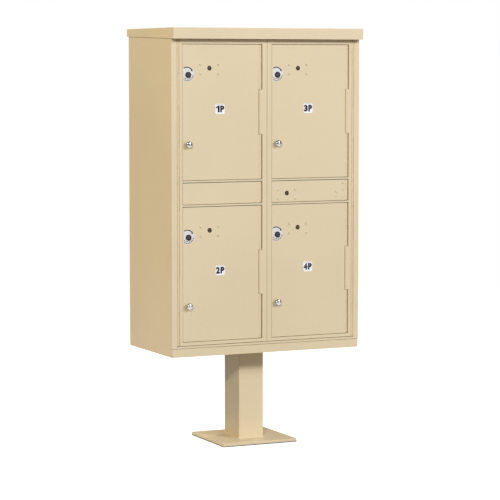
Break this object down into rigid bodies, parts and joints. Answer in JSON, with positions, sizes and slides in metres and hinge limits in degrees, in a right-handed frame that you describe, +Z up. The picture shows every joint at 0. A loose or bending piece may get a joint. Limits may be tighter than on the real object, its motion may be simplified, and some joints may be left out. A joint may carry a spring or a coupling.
{
  "type": "outdoor parcel locker",
  "caption": "Free-standing outdoor parcel locker cabinet on a pedestal, with lockable parcel doors set in two hinged master loading doors.",
  "frame": {"origin": "centre of the base plate's underside, where the unit stands on its concrete pad", "axes": "+X to the right as a user faces the doors, +Y towards the back of the cabinet, +Z up"},
  "size_m": [0.7792, 0.4572, 1.5748],
  "materials": {
    "powder_coat": "sand powder coat, semi-gloss, fine orange peel",
    "zinc_steel": "zinc-plated",
    "black_nickel": "black nickel plate, satin",
    "lock_brass": "cast, slightly worn",
    "chrome": "polished chrome plate",
    "label_white": "white vinyl label"
  },
  "bodies": {
    "cabinet": {"base_plate": "powder_coat", "pedestal_post": "powder_coat", "pedestal_top_plate": "powder_coat", "floor_pan": "powder_coat", "base_fascia": "powder_coat", "left_side_panel": "powder_coat", "right_side_panel": "powder_coat", "back_panel": "powder_coat", "top_panel": "powder_coat", "hood": "powder_coat", "centre_divider": "powder_coat", "latch_strike": "powder_coat", "left_shelf": "powder_coat", "right_shelf": "powder_coat", "left_master_pin": "zinc_steel", "right_master_pin": "zinc_steel"},
    "left_master_door": {"left_master_frame": "powder_coat", "left_filler_panel": "powder_coat", "door_hinge_pin_1": "zinc_steel", "door_hinge_pin_2": "zinc_steel"},
    "left_latch": {"left_master_latch": "zinc_steel"},
    "right_master_door": {"right_master_frame": "powder_coat", "right_filler_panel": "powder_coat", "door_hinge_pin_3": "zinc_steel", "door_hinge_pin_4": "zinc_steel", "master_lock_body": "lock_brass"},
    "master_lock_core": {"master_lock_plug": "lock_brass", "master_lock_cam": "zinc_steel"},
    "door_1": {"parcel_door_1": "powder_coat", "customer_lock_body_1": "black_nickel", "access_lock_body_1": "lock_brass", "pull_knob_1": "chrome", "number_label_1": "label_white"},
    "customer_lock_core_1": {"customer_lock_plug_1": "black_nickel", "customer_lock_cam_1": "zinc_steel"},
    "access_lock_core_1": {"access_lock_plug_1": "lock_brass"},
    "door_2": {"parcel_door_2": "powder_coat", "customer_lock_body_2": "black_nickel", "access_lock_body_2": "lock_brass", "pull_knob_2": "chrome", "number_label_2": "label_white"},
    "customer_lock_core_2": {"customer_lock_plug_2": "black_nickel", "customer_lock_cam_2": "zinc_steel"},
    "access_lock_core_2": {"access_lock_plug_2": "lock_brass"},
    "door_3": {"parcel_door_3": "powder_coat", "customer_lock_body_3": "black_nickel", "access_lock_body_3": "lock_brass", "pull_knob_3": "chrome", "number_label_3": "label_white"},
    "customer_lock_core_3": {"customer_lock_plug_3": "black_nickel", "customer_lock_cam_3": "zinc_steel"},
    "access_lock_core_3": {"access_lock_plug_3": "lock_brass"},
    "door_4": {"parcel_door_4": "powder_coat", "customer_lock_body_4": "black_nickel", "access_lock_body_4": "lock_brass", "pull_knob_4": "chrome", "number_label_4": "label_white"},
    "customer_lock_core_4": {"customer_lock_plug_4": "black_nickel", "customer_lock_cam_4": "zinc_steel"},
    "access_lock_core_4": {"access_lock_plug_4": "lock_brass"}
  },
  "joints": [
    {"name": "left_master_hinge", "type": "hinge", "parent": "cabinet", "child": "left_master_door", "pos_m": [-0.36075, -0.204, 0.9672], "axis": [0, 0, -1], "range_deg": [0, 100]},
    {"name": "right_master_hinge", "type": "hinge", "parent": "cabinet", "child": "right_master_door", "pos_m": [0.36075, -0.204, 0.9672], "axis": [0, 0, 1], "range_deg": [0, 100]},
    {"name": "left_latch_turn", "type": "hinge", "parent": "left_master_door", "child": "left_latch", "pos_m": [-0.0145, -0.189, 0.965], "axis": [0, 1, 0], "range_deg": [0, 90]},
    {"name": "master_lock_turn", "type": "hinge", "parent": "right_master_door", "child": "master_lock_core", "pos_m": [0.0827, -0.208, 0.9585], "axis": [0, 1, 0], "range_deg": [0, 90]},
    {"name": "door_1_hinge", "type": "hinge", "parent": "left_master_door", "child": "door_1", "pos_m": [-0.0273, -0.2021, 1.264], "axis": [0, 0, 1], "range_deg": [0, 100]},
    {"name": "customer_lock_turn_1", "type": "hinge", "parent": "door_1", "child": "customer_lock_core_1", "pos_m": [-0.32035, -0.208, 1.4018], "axis": [0, 1, 0], "range_deg": [0, 90]},
    {"name": "access_lock_turn_1", "type": "hinge", "parent": "door_1", "child": "access_lock_core_1", "pos_m": [-0.23505, -0.208, 1.4263], "axis": [0, 1, 0], "range_deg": [0, 90]},
    {"name": "door_2_hinge", "type": "hinge", "parent": "left_master_door", "child": "door_2", "pos_m": [-0.0273, -0.2021, 0.666], "axis": [0, 0, 1], "range_deg": [0, 100]},
    {"name": "customer_lock_turn_2", "type": "hinge", "parent": "door_2", "child": "customer_lock_core_2", "pos_m": [-0.32035, -0.208, 0.8038], "axis": [0, 1, 0], "range_deg": [0, 90]},
    {"name": "access_lock_turn_2", "type": "hinge", "parent": "door_2", "child": "access_lock_core_2", "pos_m": [-0.23505, -0.208, 0.8283], "axis": [0, 1, 0], "range_deg": [0, 90]},
    {"name": "door_3_hinge", "type": "hinge", "parent": "right_master_door", "child": "door_3", "pos_m": [0.33605, -0.2021, 1.264], "axis": [0, 0, 1], "range_deg": [0, 100]},
    {"name": "customer_lock_turn_3", "type": "hinge", "parent": "door_3", "child": "customer_lock_core_3", "pos_m": [0.043, -0.208, 1.4018], "axis": [0, 1, 0], "range_deg": [0, 90]},
    {"name": "access_lock_turn_3", "type": "hinge", "parent": "door_3", "child": "access_lock_core_3", "pos_m": [0.1283, -0.208, 1.4263], "axis": [0, 1, 0], "range_deg": [0, 90]},
    {"name": "door_4_hinge", "type": "hinge", "parent": "right_master_door", "child": "door_4", "pos_m": [0.33605, -0.2021, 0.666], "axis": [0, 0, 1], "range_deg": [0, 100]},
    {"name": "customer_lock_turn_4", "type": "hinge", "parent": "door_4", "child": "customer_lock_core_4", "pos_m": [0.043, -0.208, 0.8038], "axis": [0, 1, 0], "range_deg": [0, 90]},
    {"name": "access_lock_turn_4", "type": "hinge", "parent": "door_4", "child": "access_lock_core_4", "pos_m": [0.1283, -0.208, 0.8283], "axis": [0, 1, 0], "range_deg": [0, 90]}
  ]
}
